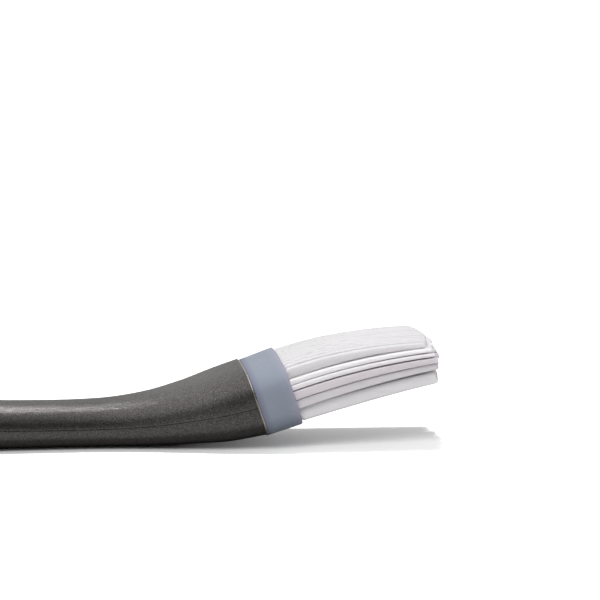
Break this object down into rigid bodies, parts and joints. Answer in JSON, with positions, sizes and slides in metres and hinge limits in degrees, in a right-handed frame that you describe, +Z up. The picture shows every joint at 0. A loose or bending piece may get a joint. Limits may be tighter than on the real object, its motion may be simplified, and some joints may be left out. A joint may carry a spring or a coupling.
{
  "type": "pastry brush",
  "caption": "Silicone pastry brush: hollow two-shell handle with a hanging eye, translucent collar, bristle combs outside and perforated flaps inside that bend at the collar.",
  "frame": {"origin": "on the flat of the handle's belly, at the middle of its width, 95 mm behind the handle's mouth", "axes": "+X along the handle towards the bristles, +Z up away from the belly, +Y to the left seen from behind the handle"},
  "size_m": [0.2398, 0.0422, 0.0336],
  "materials": {
    "handle_paint": "satin dark grey paint with fine metallic flakes",
    "bright_steel": "satin",
    "collar_plastic": "frosted, blue-grey and slightly translucent",
    "core_plastic": "plain moulding",
    "clear_silicone": "milky translucent silicone"
  },
  "bodies": {
    "handle": {"handle_upper_shell": "handle_paint", "handle_lower_shell": "handle_paint", "hanging_eyelet": "bright_steel", "mouth_trim_ring": "bright_steel", "collar": "collar_plastic", "head_core": "core_plastic", "clamp_pin_left": "bright_steel", "clamp_pin_right": "bright_steel", "tang_screw_left": "bright_steel", "tang_screw_right": "bright_steel", "top_outer_comb_root": "clear_silicone", "upper_flap_root": "clear_silicone", "upper_core_flap_root": "clear_silicone", "lower_core_flap_root": "clear_silicone", "lower_flap_root": "clear_silicone", "bottom_outer_comb_root": "clear_silicone"},
    "top_comb": {"top_outer_comb_bristles": "clear_silicone"},
    "flap_1": {"upper_flap_bristles": "clear_silicone"},
    "flap_2": {"upper_core_flap_bristles": "clear_silicone"},
    "flap_3": {"lower_core_flap_bristles": "clear_silicone"},
    "flap_4": {"lower_flap_bristles": "clear_silicone"},
    "bottom_comb": {"bottom_outer_comb_bristles": "clear_silicone"}
  },
  "joints": [
    {"name": "bristle_flex", "type": "hinge", "parent": "handle", "child": "bottom_comb", "pos_m": [0.10934, 0, 0.01086], "axis": [0, -1, 0], "range_deg": [-25, 25], "stiffness_Nm_per_rad": 0.03, "springref_deg": 2.29},
    {"name": "flap_4_flex", "type": "hinge", "parent": "handle", "child": "flap_4", "pos_m": [0.10804, 0, 0.01474], "axis": [0, -1, 0], "range_deg": [-25, 25], "stiffness_Nm_per_rad": 0.02, "springref_deg": 2.29},
    {"name": "flap_3_flex", "type": "hinge", "parent": "handle", "child": "flap_3", "pos_m": [0.10708, 0, 0.01764], "axis": [0, -1, 0], "range_deg": [-25, 25], "stiffness_Nm_per_rad": 0.02, "springref_deg": 2.29},
    {"name": "flap_2_flex", "type": "hinge", "parent": "handle", "child": "flap_2", "pos_m": [0.1063, 0, 0.01996], "axis": [0, -1, 0], "range_deg": [-25, 25], "stiffness_Nm_per_rad": 0.02, "springref_deg": 2.29},
    {"name": "flap_1_flex", "type": "hinge", "parent": "handle", "child": "flap_1", "pos_m": [0.10571, 0, 0.02172], "axis": [0, -1, 0], "range_deg": [-25, 25], "stiffness_Nm_per_rad": 0.02, "springref_deg": 2.29},
    {"name": "top_comb_flex", "type": "hinge", "parent": "handle", "child": "top_comb", "pos_m": [0.10466, 0, 0.02484], "axis": [0, -1, 0], "range_deg": [-25, 25], "stiffness_Nm_per_rad": 0.03, "springref_deg": 2.29}
  ],
  "couplings": [
    {"joint": "flap_4_flex", "follows": "bristle_flex", "ratio": 0.986},
    {"joint": "flap_3_flex", "follows": "bristle_flex", "ratio": 0.973},
    {"joint": "flap_2_flex", "follows": "bristle_flex", "ratio": 0.96},
    {"joint": "flap_1_flex", "follows": "bristle_flex", "ratio": 0.95},
    {"joint": "top_comb_flex", "follows": "bristle_flex", "ratio": 0.928}
  ]
}
